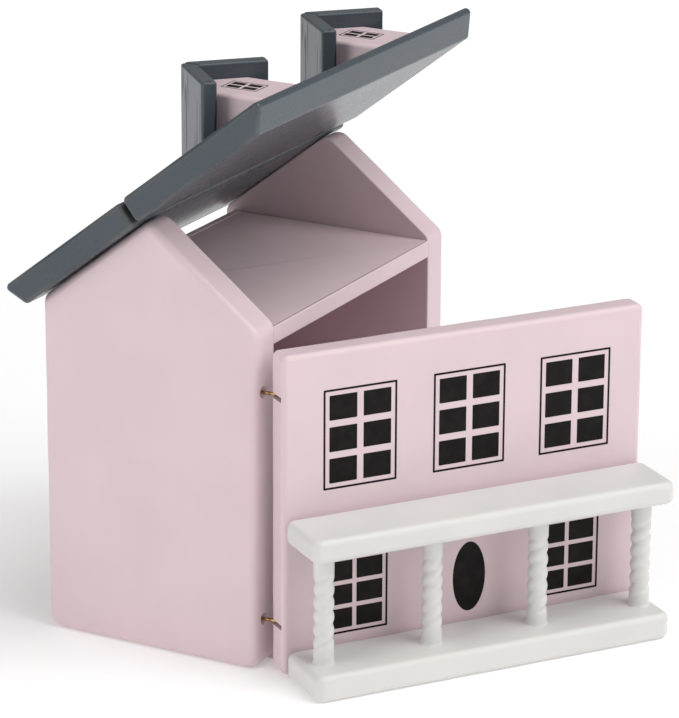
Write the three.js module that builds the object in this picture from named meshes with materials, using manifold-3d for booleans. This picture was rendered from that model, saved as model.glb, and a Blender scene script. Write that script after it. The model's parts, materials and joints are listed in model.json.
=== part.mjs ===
// Small painted wooden dollhouse with a hinged front and a hinged front roof.
// Millimetres, +Z up, front towards -Y. The origin is the centre of the house's underside.
import * as THREE from 'three';
import { mergeVertices } from 'three/addons/utils/BufferGeometryUtils.js';
import Module from 'manifold-3d';

const wasm = await Module();
wasm.setup();

// House body
const HOUSE_WIDTH = 132;
const HOUSE_DEPTH = 80;
const EAVE_HEIGHT = 116;
const ROOF_PITCH = THREE.MathUtils.degToRad(38);
const WALL_THICKNESS = 12;
const FLOOR_THICKNESS = 6;
const MIDDLE_FLOOR_Z = 58;
const ATTIC_FLOOR_Z = 109;
const PANEL_THICKNESS = 3;
const PANEL_INSET = 3;
const PANEL_ROUND = 0.4;
const GROOVE_DEPTH = 4;
const WALL_ROUND = 2.4;
const WALL_CORNER_ROUND = 3.2;
const FLOOR_ROUND = 0.8;

// Main roof boards
const ROOF_THICKNESS = 9;
const BACK_ROOF_LENGTH = 143;
const FRONT_ROOF_LENGTH = 147;
const ROOF_ROUND = 1.8;
const ROOF_GAP = 0.3;
const BACK_ROOF_START = 1.6;
const BACK_ROOF_INNER = 55.5;
const BACK_ROOF_OUTER = 59.9;
const FRONT_ROOF_INNER = 59.2;
const FRONT_ROOF_OUTER = 67.5;
const ROOF_OPEN_PITCH = THREE.MathUtils.degToRad(38);
const ROOF_PIN_FROM_END = 2.5;
const ROOF_PIN_FROM_INNER = 3;
const ROOF_PIN_Y = 0.3;
const ROOF_PIN_Z = 151.8;
const ROOF_EYE_X = 44;

// Dormers
const DORMER_X = 39.5;
const DORMER_START = 3.8;
const DORMER_ANGLE = THREE.MathUtils.degToRad(52);
const DORMER_ROOF_REACH = 36;
const DORMER_BODY_REACH = 31;
const DORMER_SLOPE = 28.5;
const DORMER_BOARD = 5.2;
const DORMER_HALF_WIDTH = 11.4;
const DORMER_ROUND = 0.9;
const DORMER_SPARE = 6;

// Front wall that opens, and its porch
const DOOR_WIDTH = 131.4;
const DOOR_HEIGHT = 109.4;
const DOOR_THICKNESS = 9;
const DOOR_LIFT = 0.5;
const DOOR_OPEN = THREE.MathUtils.degToRad(36);
const DOOR_GAP = 3.8;
const DOOR_ROUND = 1.6;
const DOOR_PIN_FROM_EDGE = 3;
const DOOR_PIN_FROM_BACK = 4;
const DOOR_PIN_X = 5 - HOUSE_WIDTH / 2;
const DOOR_EYE_HEIGHTS = { upper: 95, lower: 17 };
const PORCH_BASE = { start: 0.9, end: 130.7, depth: 24.8, bottom: 0.5, top: 9.3 };
const PORCH_ROOF = { start: 0.5, end: 132.3, depth: 22.9, bottom: 47, top: 55 };
const PORCH_ROUND = 2;
const COLUMN_COUNT = 4;
const COLUMN_FIRST = 8.4;
const COLUMN_PITCH = 38.9;
const COLUMN_FROM_DOOR = 13;
const COLUMN_RADIUS = 3.4;
const COLUMN_GROOVE = 0.55;
const COLUMN_TURNS = 8;
const COLUMN_PLAIN_END = 5;
const TENON_RADIUS = 2;
const TENON_LENGTH = 3;

// Small hardware
const WIRE_RADIUS = 0.6;
const EYE_HOLE_RADIUS = 0.8;
const EYE_POINT = 2;
const PIN_RADIUS = 0.7;
const PIN_LENGTH = 14;
const SLOT_WIDTH = 1.7;
const SLOT_RADIUS = 4.6;
const SHANK_DEPTH = 9;
const SEAT_RADIUS = 2;
const SEAT_DEPTH = 1;
const DOWEL_RADIUS = 2;
const DOWEL_LENGTH = 15;
const DOWEL_HOLE_SPARE = 0.15;
const FLOOR_DOWEL_YS = [-22, 20];
const PORCH_DOWELS_FROM_EDGE = [27, 104];
const PORCH_DOWEL_SHIFT = 1.5;
const CLEARANCE = 0.15;
const BEYOND = 1;

const HALF_WIDTH = HOUSE_WIDTH / 2;
const HALF_DEPTH = HOUSE_DEPTH / 2;
const INNER_HALF = HALF_WIDTH - WALL_THICKNESS;
const PEAK_HEIGHT = EAVE_HEIGHT + HALF_DEPTH * Math.tan(ROOF_PITCH);
const PANEL_FRONT = HALF_DEPTH - PANEL_INSET - PANEL_THICKNESS;
const PANEL_TOP = ATTIC_FLOOR_Z + FLOOR_THICKNESS;
const EYE_RING_RADIUS = EYE_HOLE_RADIUS + WIRE_RADIUS;

const X = new THREE.Vector3(1, 0, 0);
const Y = new THREE.Vector3(0, 1, 0);
const Z = new THREE.Vector3(0, 0, 1);

const paint = (color, roughness) => new THREE.MeshStandardMaterial({ color, roughness, metalness: 0 });
const PINK = paint(0xdcc8cd, 0.5);
const GREY = paint(0x5b636a, 0.4);
const WHITE = paint(0xe6e6e2, 0.45);
const BARE_WOOD = paint(0xcfb58c, 0.7);
const BRASS = new THREE.MeshStandardMaterial({ color: 0x9c7a3c, roughness: 0.35, metalness: 1 });

// ---- Solids -------------------------------------------------------------------------------

function toSolid(geometry) {
  const bare = geometry.clone();
  bare.deleteAttribute('normal');
  bare.deleteAttribute('uv');
  const merged = mergeVertices(bare, 1e-4);
  return new wasm.Manifold(new wasm.Mesh({
    numProp: 3,
    vertProperties: new Float32Array(merged.attributes.position.array),
    triVerts: new Uint32Array(merged.index.array),
  }));
}

function toGeometry(solid) {
  const { vertProperties, triVerts } = solid.getMesh();
  const geometry = new THREE.BufferGeometry();
  geometry.setAttribute('position', new THREE.BufferAttribute(new Float32Array(vertProperties), 3));
  geometry.setIndex(new THREE.BufferAttribute(new Uint32Array(triVerts), 1));
  return geometry;
}

function cut(geometry, cutters) {
  const tools = cutters.map(toSolid);
  const result = tools.reduce((solid, tool) => solid.subtract(tool), toSolid(geometry));
  return toGeometry(result);
}

function join(geometries) {
  const solids = geometries.map(toSolid);
  return toGeometry(solids.reduce((whole, piece) => whole.add(piece)));
}

// An outline through the given [x, y] points, anticlockwise, each corner an arc of the given radius.
function easedOutline(points, radius) {
  const corners = points.map(([x, y]) => new THREE.Vector2(x, y));
  const shape = new THREE.Shape();
  corners.forEach((corner, i) => {
    const before = corners[(i + corners.length - 1) % corners.length].clone().sub(corner).normalize();
    const after = corners[(i + 1) % corners.length].clone().sub(corner).normalize();
    const halfAngle = Math.acos(before.dot(after)) / 2;
    const inward = before.clone().add(after).setLength(radius / Math.sin(halfAngle));
    const centre = corner.clone().add(inward);
    const middle = Math.atan2(-inward.y, -inward.x);
    const sweep = Math.PI / 2 - halfAngle;
    if (i === 0) {
      const start = new THREE.Vector2(radius, 0).rotateAround(new THREE.Vector2(), middle - sweep);
      shape.moveTo(centre.x + start.x, centre.y + start.y);
    }
    shape.absarc(centre.x, centre.y, radius, middle - sweep, middle + sweep, false);
  });
  shape.closePath();
  return shape;
}

// A board cut to an outline, with all its edges rounded; it fills 0 to thickness.
function board(points, thickness, round, cornerRound = round * 1.25) {
  const geometry = new THREE.ExtrudeGeometry(easedOutline(points, cornerRound), {
    depth: thickness - 2 * round,
    bevelEnabled: true,
    bevelThickness: round,
    bevelSize: round,
    bevelOffset: -round,
    bevelSegments: 2,
    curveSegments: 2,
    steps: 1,
  });
  return geometry.translate(0, 0, round);
}

const rectangle = (x0, y0, x1, y1) => [[x0, y0], [x1, y0], [x1, y1], [x0, y1]];

// Turns a flat board so that its outline lies in the named plane.
const inPlaneYZ = (geometry) => geometry.applyMatrix4(new THREE.Matrix4().makeBasis(Y, Z, X));
const inPlaneXZ = (geometry) => {
  return geometry.applyMatrix4(new THREE.Matrix4().makeBasis(X, Z, Y.clone().negate()));
};

function block(x0, y0, z0, x1, y1, z1) {
  const geometry = new THREE.BoxGeometry(x1 - x0, y1 - y0, z1 - z0);
  return geometry.translate((x0 + x1) / 2, (y0 + y1) / 2, (z0 + z1) / 2);
}

// A round bar of the given length along a direction, centred on a point.
function roundBar(radius, length, direction, centre, sides = 10) {
  const geometry = new THREE.CylinderGeometry(radius, radius, length, sides);
  const turn = new THREE.Quaternion().setFromUnitVectors(Y, direction);
  return geometry.applyQuaternion(turn).translate(centre.x, centre.y, centre.z);
}

function node(name, geometry, material, parent) {
  const mesh = new THREE.Mesh(geometry, material);
  mesh.name = name;
  parent.add(mesh);
  return mesh;
}

const house = new THREE.Group();

// ---- Side walls, floors and back panel ------------------------------------------------------

const floors = {
  bottom: { z: 0 },
  middle: { z: MIDDLE_FLOOR_Z },
  attic: { z: ATTIC_FLOOR_Z },
};

function dowelCentre(side, floorZ, y) {
  return new THREE.Vector3(side * INNER_HALF, y, floorZ + FLOOR_THICKNESS / 2);
}

function dowelHole(centre, direction = X) {
  const length = DOWEL_LENGTH + 2 * DOWEL_HOLE_SPARE;
  return roundBar(DOWEL_RADIUS + DOWEL_HOLE_SPARE, length, direction, centre);
}

const floorDowels = [-1, 1].flatMap((side) => Object.entries(floors).flatMap(([floor, { z }]) => {
  return FLOOR_DOWEL_YS.map((y, i) => ({ side, floor, i, centre: dowelCentre(side, z, y) }));
}));

const GABLE = [
  [-HALF_DEPTH, 0],
  [HALF_DEPTH, 0],
  [HALF_DEPTH, EAVE_HEIGHT],
  [0, PEAK_HEIGHT],
  [-HALF_DEPTH, EAVE_HEIGHT],
];

function sideWall(side) {
  const outerX = side * HALF_WIDTH;
  const innerX = side * INNER_HALF;
  const wall = inPlaneYZ(board(GABLE, WALL_THICKNESS, WALL_ROUND, WALL_CORNER_ROUND));
  wall.translate(Math.min(outerX, innerX), 0, 0);
  const grooveX = innerX + side * GROOVE_DEPTH;
  const roomX = innerX - side * BEYOND;
  const groove = block(
    Math.min(grooveX, roomX), PANEL_FRONT - CLEARANCE, -BEYOND,
    Math.max(grooveX, roomX), PANEL_FRONT + PANEL_THICKNESS + CLEARANCE, PANEL_TOP + CLEARANCE,
  );
  const holes = floorDowels.filter((dowel) => dowel.side === side).map(({ centre }) => dowelHole(centre));
  return { wall, cutters: [groove, ...holes] };
}

function doorEyeSeat(z) {
  const face = -HALF_DEPTH;
  const pilotLength = SHANK_DEPTH + 2 * CLEARANCE;
  const at = (y) => new THREE.Vector3(DOOR_PIN_X, y, z);
  return [
    roundBar(SEAT_RADIUS, 2 * SEAT_DEPTH, Y, at(face)),
    roundBar(WIRE_RADIUS + CLEARANCE, pilotLength, Y, at(face + pilotLength / 2)),
  ];
}

const left = sideWall(-1);
const right = sideWall(1);
node('left_wall', cut(left.wall, [...left.cutters, ...Object.values(DOOR_EYE_HEIGHTS).flatMap(doorEyeSeat)]),
  PINK, house);
node('right_wall', cut(right.wall, right.cutters), PINK, house);

function floorBoard(floor) {
  const endX = INNER_HALF - CLEARANCE;
  const outline = rectangle(-endX, -HALF_DEPTH, endX, PANEL_FRONT - CLEARANCE);
  const plank = board(outline, FLOOR_THICKNESS, FLOOR_ROUND).translate(0, 0, floors[floor].z);
  const holes = floorDowels.filter((dowel) => dowel.floor === floor).map(({ centre }) => dowelHole(centre));
  return cut(plank, holes);
}

node('bottom_floor', floorBoard('bottom'), PINK, house);
node('middle_floor', floorBoard('middle'), PINK, house);
node('attic_floor', floorBoard('attic'), PINK, house);

const panelHalf = INNER_HALF + GROOVE_DEPTH - CLEARANCE;
const panel = inPlaneXZ(board(rectangle(-panelHalf, 0, panelHalf, PANEL_TOP), PANEL_THICKNESS, PANEL_ROUND));
node('back_panel', panel, PINK, house).position.y = PANEL_FRONT + PANEL_THICKNESS;

floorDowels.forEach(({ side, floor, i, centre }) => {
  const name = `${side < 0 ? 'left' : 'right'}_${floor}_dowel_${i + 1}`;
  node(name, roundBar(DOWEL_RADIUS, DOWEL_LENGTH, X, new THREE.Vector3()), BARE_WOOD, house)
    .position.copy(centre);
});

// ---- Screw eyes and hinge pins --------------------------------------------------------------

// A screw eye in its own frame: ring round the local X axis at the origin, shank towards local +Y.
function screwEye(reach) {
  const ring = new THREE.TorusGeometry(EYE_RING_RADIUS, WIRE_RADIUS, 6, 16).rotateY(Math.PI / 2);
  const straight = reach - EYE_POINT - EYE_RING_RADIUS;
  const shankCentre = new THREE.Vector3(0, EYE_RING_RADIUS + straight / 2, 0);
  const shank = roundBar(WIRE_RADIUS, straight, Y, shankCentre, 8);
  const point = new THREE.ConeGeometry(WIRE_RADIUS, EYE_POINT, 8).translate(0, reach - EYE_POINT / 2, 0);
  return join([ring, shank, point]);
}

// A bore for a hinge pin, a little longer and wider than the pin.
function pinBore(direction, centre) {
  return roundBar(PIN_RADIUS + CLEARANCE / 2, PIN_LENGTH + 2 * CLEARANCE, direction, centre);
}

// The slot that a screw eye's ring turns in, cut with a small disc saw centred on the pin.
function eyeSlot(direction, centre) {
  return roundBar(SLOT_RADIUS, SLOT_WIDTH, direction, centre, 40);
}

function hingePin(name, direction, centre, parent) {
  const pin = roundBar(PIN_RADIUS, PIN_LENGTH, direction, new THREE.Vector3());
  node(name, pin, BRASS, parent).position.copy(centre);
}

// ---- Back roof board --------------------------------------------------------------------------

const backRoof = new THREE.Group();
backRoof.position.set(0, 0, PEAK_HEIGHT);
backRoof.rotation.x = -ROOF_PITCH;
house.add(backRoof);

function roofBoard(outline, length) {
  return inPlaneYZ(board(outline, length, ROOF_ROUND)).translate(-BACK_ROOF_LENGTH / 2, 0, 0);
}

// The roof pins' place in the back board's frame: along the slope, and above the inner face.
const roofPin = new THREE.Vector2(ROOF_PIN_Y, ROOF_PIN_Z - PEAK_HEIGHT)
  .rotateAround(new THREE.Vector2(), ROOF_PITCH);
const backBoard = roofBoard([
  [BACK_ROOF_START, ROOF_GAP],
  [BACK_ROOF_INNER, ROOF_GAP],
  [BACK_ROOF_OUTER, ROOF_GAP + ROOF_THICKNESS],
  [BACK_ROOF_START, ROOF_GAP + ROOF_THICKNESS],
], BACK_ROOF_LENGTH);
const roofEyeXs = { left: -ROOF_EYE_X, right: ROOF_EYE_X };
const roofPilots = Object.values(roofEyeXs).map((x) => {
  const length = SHANK_DEPTH + 2 * CLEARANCE;
  const centre = new THREE.Vector3(x, BACK_ROOF_START + length / 2, roofPin.y);
  return roundBar(WIRE_RADIUS + CLEARANCE, length, Y, centre);
});
node('back_roof_board', cut(backBoard, roofPilots), GREY, backRoof);

Object.entries(roofEyeXs).forEach(([side, x]) => {
  const reach = BACK_ROOF_START - roofPin.x + SHANK_DEPTH;
  node(`${side}_roof_screw_eye`, screwEye(reach), BRASS, backRoof)
    .position.set(x, roofPin.x, roofPin.y);
});

// ---- Front roof board, which lifts ------------------------------------------------------------

// Local frame: origin on the pins, +Y towards the ridge end, +Z out of the roof.
const frontRoof = new THREE.Group();
frontRoof.position.set(0, ROOF_PIN_Y, ROOF_PIN_Z);
frontRoof.rotation.x = -ROOF_OPEN_PITCH;
house.add(frontRoof);

const frontEnd = ROOF_PIN_FROM_END;
const frontInner = -ROOF_PIN_FROM_INNER;
const frontOuter = frontInner + ROOF_THICKNESS;
const frontBoard = roofBoard([
  [frontEnd - FRONT_ROOF_OUTER, frontOuter],
  [frontEnd - FRONT_ROOF_INNER, frontInner],
  [frontEnd, frontInner],
  [frontEnd, frontOuter],
], FRONT_ROOF_LENGTH);
const roofPins = Object.entries(roofEyeXs).map(([side, x]) => ({ side, centre: new THREE.Vector3(x, 0, 0) }));
const roofCuts = roofPins.flatMap(({ centre }) => [eyeSlot(X, centre), pinBore(X, centre)]);
node('front_roof_board', cut(frontBoard, roofCuts), GREY, frontRoof);
roofPins.forEach(({ side, centre }) => hingePin(`${side}_roof_pin`, X, centre, frontRoof));

// ---- Dormers ------------------------------------------------------------------------------------

// Dormer frame: origin where its ridge leaves the roof board, window towards -Y, +Z up the window.
const slopeRun = DORMER_SLOPE * Math.SQRT1_2;
const boardRun = DORMER_BOARD * Math.SQRT1_2;
const innerRidge = DORMER_BOARD * Math.SQRT2;

function dormerBoardOutline(side) {
  const points = [
    [CLEARANCE, 0],
    [slopeRun, -slopeRun],
    [slopeRun - boardRun, -slopeRun - boardRun],
    [CLEARANCE, -innerRidge],
  ].map(([x, z]) => [side * x, z]);
  return side > 0 ? points.reverse() : points;
}

const dormerShoulder = -innerRidge - 2 * CLEARANCE - DORMER_HALF_WIDTH;
const dormerFoot = -DORMER_BODY_REACH * Math.tan(DORMER_ANGLE) - DORMER_SPARE;
const DORMER_FACE = [
  [-DORMER_HALF_WIDTH, dormerFoot],
  [DORMER_HALF_WIDTH, dormerFoot],
  [DORMER_HALF_WIDTH, dormerShoulder],
  [0, dormerShoulder + DORMER_HALF_WIDTH],
  [-DORMER_HALF_WIDTH, dormerShoulder],
];

// A bar of the given section along the dormer's ridge, its back end cut to sit on the roof board.
function onRoofSlope(section, reach) {
  const bar = inPlaneXZ(board(section, reach + DORMER_SPARE, DORMER_ROUND)).translate(0, DORMER_SPARE, 0);
  const far = 2 * FRONT_ROOF_OUTER;
  const underRoof = block(-far, -far, -far, far, far, CLEARANCE).rotateX(DORMER_ANGLE);
  return cut(bar, [underRoof]);
}

Object.entries({ left: -DORMER_X, right: DORMER_X }).forEach(([place, x]) => {
  const dormer = new THREE.Group();
  dormer.position.set(x, frontEnd - DORMER_START, frontOuter);
  dormer.rotation.x = -DORMER_ANGLE;
  frontRoof.add(dormer);
  node(`${place}_dormer_body`, onRoofSlope(DORMER_FACE, DORMER_BODY_REACH), PINK, dormer);
  Object.entries({ left: -1, right: 1 }).forEach(([side, sign]) => {
    const slopeBoard = onRoofSlope(dormerBoardOutline(sign), DORMER_ROOF_REACH);
    node(`${place}_dormer_${side}_roof`, slopeBoard, GREY, dormer);
  });
});

// ---- Front wall that opens ------------------------------------------------------------------------

// Local frame: origin on the pins at floor level, +X along the wall, front face towards -Y.
const door = new THREE.Group();
door.position.set(DOOR_PIN_X, -HALF_DEPTH - DOOR_GAP - DOOR_PIN_FROM_BACK, 0);
door.rotation.z = -DOOR_OPEN;
house.add(door);

const doorStart = -DOOR_PIN_FROM_EDGE;
const doorBack = DOOR_PIN_FROM_BACK;
const doorFront = doorBack - DOOR_THICKNESS;
const porchBack = doorFront - CLEARANCE;
const columnY = doorFront - COLUMN_FROM_DOOR;
const columnXs = Array.from({ length: COLUMN_COUNT }, (_, i) => doorStart + COLUMN_FIRST + i * COLUMN_PITCH);

function porchDowelCentres(slab) {
  const y = doorFront - PORCH_DOWEL_SHIFT;
  const z = (slab.bottom + slab.top) / 2;
  return PORCH_DOWELS_FROM_EDGE.map((x) => new THREE.Vector3(doorStart + x, y, z));
}

const porchSlabs = { porch_base: PORCH_BASE, porch_roof: PORCH_ROOF };
const porchDowels = Object.values(porchSlabs).flatMap(porchDowelCentres);

const doorOutline = rectangle(doorStart, DOOR_LIFT, doorStart + DOOR_WIDTH, DOOR_LIFT + DOOR_HEIGHT);
const doorPanel = inPlaneXZ(board(doorOutline, DOOR_THICKNESS, DOOR_ROUND)).translate(0, doorBack, 0);
const doorPins = Object.entries(DOOR_EYE_HEIGHTS).map(([place, z]) => {
  return { place, centre: new THREE.Vector3(0, 0, z) };
});
const doorCuts = doorPins.flatMap(({ centre }) => [eyeSlot(Z, centre), pinBore(Z, centre)]);
const doorDowelHoles = porchDowels.map((centre) => dowelHole(centre, Y));
node('front_wall', cut(doorPanel, [...doorCuts, ...doorDowelHoles]), PINK, door);

doorPins.forEach(({ place, centre }) => {
  hingePin(`${place}_front_wall_pin`, Z, centre, door);
  const eye = screwEye(DOOR_GAP + DOOR_PIN_FROM_BACK + SHANK_DEPTH).rotateY(Math.PI / 2);
  node(`${place}_front_wall_screw_eye`, eye, BRASS, house)
    .position.copy(door.position).setZ(centre.z);
});

function porchSlab(slab, tenonZ) {
  const x0 = doorStart + slab.start;
  const x1 = doorStart + slab.end;
  const outline = rectangle(x0, porchBack - slab.depth, x1, porchBack);
  const plank = board(outline, slab.top - slab.bottom, PORCH_ROUND).translate(0, 0, slab.bottom);
  const tenonHoles = columnXs.map((x) => {
    const length = 2 * (TENON_LENGTH + CLEARANCE);
    return roundBar(TENON_RADIUS + CLEARANCE, length, Z, new THREE.Vector3(x, columnY, tenonZ));
  });
  const dowelHoles = porchDowelCentres(slab).map((centre) => dowelHole(centre, Y));
  return cut(plank, [...tenonHoles, ...dowelHoles]);
}

node('porch_base', porchSlab(PORCH_BASE, PORCH_BASE.top), WHITE, door);
node('porch_roof', porchSlab(PORCH_ROOF, PORCH_ROOF.bottom), WHITE, door);

Object.entries(porchSlabs).forEach(([slab, sizes]) => {
  porchDowelCentres(sizes).forEach((centre, i) => {
    const dowel = roundBar(DOWEL_RADIUS, DOWEL_LENGTH, Y, new THREE.Vector3());
    node(`${slab}_dowel_${i + 1}`, dowel, BARE_WOOD, door).position.copy(centre);
  });
});

// A turned column with two rope strands round its middle, plain ends and a tenon at each end.
const columnHeight = PORCH_ROOF.bottom - PORCH_BASE.top - 2 * CLEARANCE;

function strandDepth(height) {
  const fromEnd = Math.min(height - COLUMN_PLAIN_END, columnHeight - COLUMN_PLAIN_END - height);
  return COLUMN_GROOVE * THREE.MathUtils.smoothstep(fromEnd, 0, 2);
}

function column() {
  const shaft = new THREE.CylinderGeometry(COLUMN_RADIUS, COLUMN_RADIUS, columnHeight, 12, 28);
  shaft.rotateX(Math.PI / 2).translate(0, 0, columnHeight / 2);
  const { position } = shaft.attributes;
  for (let i = 0; i < position.count; i += 1) {
    const [x, y, z] = [position.getX(i), position.getY(i), position.getZ(i)];
    const turn = 2 * Math.PI * COLUMN_TURNS * z / columnHeight;
    const groove = strandDepth(z) * (0.5 - 0.5 * Math.cos(2 * Math.atan2(y, x) - turn));
    const scale = 1 - groove / COLUMN_RADIUS;
    position.setXY(i, x * scale, y * scale);
  }
  const tenonSpan = columnHeight + 2 * TENON_LENGTH;
  const tenons = roundBar(TENON_RADIUS, tenonSpan, Z, new THREE.Vector3(0, 0, columnHeight / 2));
  return join([shaft, tenons]);
}

columnXs.forEach((x, i) => {
  node(`porch_column_${i + 1}`, column(), WHITE, door)
    .position.set(x, columnY, PORCH_BASE.top + CLEARANCE);
});

export default house;
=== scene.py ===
import json
import math

import bmesh
import bpy
from bpy.props import FloatProperty, FloatVectorProperty, PointerProperty
from mathutils import Matrix, Vector, noise


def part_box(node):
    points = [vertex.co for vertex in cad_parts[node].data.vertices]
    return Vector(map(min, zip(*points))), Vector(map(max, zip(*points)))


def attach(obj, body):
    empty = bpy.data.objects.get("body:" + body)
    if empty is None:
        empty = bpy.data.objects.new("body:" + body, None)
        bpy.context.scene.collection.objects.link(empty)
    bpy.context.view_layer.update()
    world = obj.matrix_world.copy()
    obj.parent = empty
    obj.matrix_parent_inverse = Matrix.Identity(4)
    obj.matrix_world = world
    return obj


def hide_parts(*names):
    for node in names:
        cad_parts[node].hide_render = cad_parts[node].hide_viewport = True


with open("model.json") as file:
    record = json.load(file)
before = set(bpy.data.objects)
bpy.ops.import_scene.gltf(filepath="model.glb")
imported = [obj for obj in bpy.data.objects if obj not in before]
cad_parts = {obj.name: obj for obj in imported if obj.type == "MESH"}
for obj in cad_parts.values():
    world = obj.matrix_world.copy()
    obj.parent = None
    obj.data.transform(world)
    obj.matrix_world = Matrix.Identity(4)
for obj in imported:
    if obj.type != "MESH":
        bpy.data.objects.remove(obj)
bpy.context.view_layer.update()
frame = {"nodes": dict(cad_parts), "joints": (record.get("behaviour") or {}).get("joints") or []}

bl_info = {
    "name": "Painted Dollhouse",
    "version": (1, 0, 0),
    "blender": (4, 5, 0),
    "location": "View3D > Sidebar > Dollhouse",
    "description": "Builds a small painted wooden dollhouse whose front wall and front roof open",
    "category": "Object",
}

MM = 0.001
RIGHT_ANGLE = math.pi / 2
SHARED_FRAME = Matrix.Identity(4)
JOINTS = {joint["name"]: joint for joint in frame["joints"]}
SIDES = {"left": -1, "right": 1}
AXES = {"X": 0, "Y": 1, "Z": 2}
UNDIVIDED = 1.0  # a step longer than any side, which leaves the side whole

# How a flat section (across, up, through) is laid so that "through" runs along the named axis.
LAID = {
    "X": Matrix(((0, 0, 1, 0), (1, 0, 0, 0), (0, 1, 0, 0), (0, 0, 0, 1))),
    "Y": Matrix(((1, 0, 0, 0), (0, 0, 1, 0), (0, 1, 0, 0), (0, 0, 0, 1))),
    "Z": Matrix.Identity(4),
}


# ---- Properties -------------------------------------------------------------------------------


def length(name, description, millimetres):
    return FloatProperty(
        name=name, description=description, default=millimetres * MM, subtype="DISTANCE", unit="LENGTH",
        precision=5,
    )


def colour(name, description, red, green, blue):
    return FloatVectorProperty(
        name=name, description=description, default=(red, green, blue), subtype="COLOR", min=0, max=1
    )


class DollhouseHouse(bpy.types.PropertyGroup):
    """Sizes of the house and its roof."""

    roof_pitch: FloatProperty(
        name="Roof pitch", description="Slope of the closed roof", default=math.radians(38), subtype="ANGLE"
    )
    eave_height: length("Eave height", "Height of the side walls at the eaves", 116)
    wall_round: length("Wall edge", "Radius on the outer edges of the side walls", 2.6)
    inner_round: length("Inner edge", "Radius on the inner edges of the side walls", 0.5)
    wall_corner: length("Wall corner", "Corner radius of the side walls' outline", 4.6)
    floor_round: length("Floor edge", "Radius on the edges of the floors", 0.5)
    floor_housing: length("Floor housing", "How far each floor end runs into its wall", 0.4)
    roof_round: length("Roof edge", "Radius on the edges of the roof boards", 1.5)
    roof_corner: length("Roof corner", "Corner radius of the roof boards' section", 1.6)
    back_eave_bevel: length("Back eave bevel", "How far the back eave slants outwards", 4.4)
    front_eave_bevel: length("Front eave bevel", "How far the front eave slants outwards", 8.3)
    eye_seat: length("Eye seat", "Radius of the dimple round a front wall screw eye", 2.1)
    slot_width: length("Slot width", "Width of the saw slots that the screw eyes turn in", 1.7)
    slot_radius: length("Slot radius", "Radius of the saw slots that the screw eyes turn in", 4.6)


class DollhouseDormer(bpy.types.PropertyGroup):
    """Sizes of the two dormers, in their own frame: ridge at the top, window towards the front."""

    lean: FloatProperty(
        name="Lean", description="Angle between the dormer's ridge and the roof board",
        default=math.radians(52), subtype="ANGLE",
    )
    start: length("Start", "Distance from the roof board's ridge end to the dormer's ridge", 3.8)
    roof_reach: length("Roof reach", "Length of the dormer's ridge", 36)
    body_reach: length("Body reach", "Distance from the ridge's start to the window", 31)
    slope: length("Slope", "Width of each dormer roof board", 28.5)
    board: length("Board", "Thickness of the dormer roof boards", 5.2)
    half_width: length("Half width", "Half the width of the dormer's block", 11.4)
    edge: length("Edge", "Radius on the dormer boards' edges", 0.9)
    block_edge: length("Block edge", "Radius on the dormer block's edges", 1.4)
    window_half: length("Window half", "Half the width of the printed dormer window", 4.35)
    window_top: length("Window top", "Depth of the printed dormer window's top under the ridge", 17.7)
    window_foot: length("Window foot", "Depth of the printed dormer window's foot under the ridge", 30.7)


class DollhouseFront(bpy.types.PropertyGroup):
    """Sizes of the opening front wall and its porch."""

    edge: length("Edge", "Radius on the front wall's edges", 1.9)
    corner: length("Corner", "Corner radius of the front wall's outline", 2.2)
    porch_edge: length("Porch edge", "Radius on the porch boards' edges", 2.3)
    porch_corner: length("Porch corner", "Corner radius of the porch boards' outline", 3)
    first_column: length("First column", "Distance from the hinge edge to the first column's axis", 8.4)
    column_pitch: length("Column pitch", "Distance from one column's axis to the next", 38.9)
    column_radius: length("Column radius", "Radius of a column over its strands", 3.4)
    column_groove: length("Column groove", "Depth of the groove between the strands", 0.6)
    column_cap: length("Column cap", "Length of the plain stretch at the top of a column", 6.5)
    column_base: length("Column base", "Length of the plain stretch at the foot of a column", 4)
    foot_flare: length("Foot flare", "How far the paint spreads where a column meets its board", 0.45)
    ink_depth: length("Ink depth", "Thickness of the printed ink", 0.04)
    ink_line: length("Ink line", "Width of the printed line round a window", 0.7)


class DollhouseFinish(bpy.types.PropertyGroup):
    """Colours of the paints, the print, the hardware and the bare wood."""

    pink: colour("Pink", "Paint of the walls, floors and dormer blocks", 0.73, 0.58, 0.612)
    grey: colour("Grey", "Paint of the roofs", 0.062, 0.077, 0.09)
    white: colour("White", "Paint of the porch", 0.7, 0.695, 0.67)
    ink: colour("Ink", "Printed windows and door", 0.0095, 0.008, 0.0078)
    brass: colour("Brass", "Screw eyes and hinge pins", 0.42, 0.27, 0.12)
    wood: colour("Wood", "Bare dowels, and the wood where the paint is thin", 0.55, 0.4, 0.24)


# ---- Shader nodes -----------------------------------------------------------------------------


class Wire:
    """A node's output, on which Python's arithmetic adds Math nodes."""

    def __init__(self, finish, socket):
        self.finish = finish
        self.socket = socket

    def math(self, operation, *operands):
        return self.finish.node("ShaderNodeMath", {"operation": operation}, dict(enumerate(operands)))

    def __add__(self, other):
        return self.math("ADD", self, other)

    def __sub__(self, other):
        return self.math("SUBTRACT", self, other)

    def __rsub__(self, other):
        return self.math("SUBTRACT", other, self)

    def __mul__(self, other):
        return self.math("MULTIPLY", self, other)

    def __abs__(self):
        return self.math("ABSOLUTE", self)

    __radd__ = __add__
    __rmul__ = __mul__

    def between(self, low, high):
        """0 below low, 1 above high, and smooth between them."""
        sockets = {"Value": self, "From Min": low, "From Max": high}
        return self.finish.node("ShaderNodeMapRange", {"interpolation_type": "SMOOTHSTEP"}, sockets)


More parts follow.
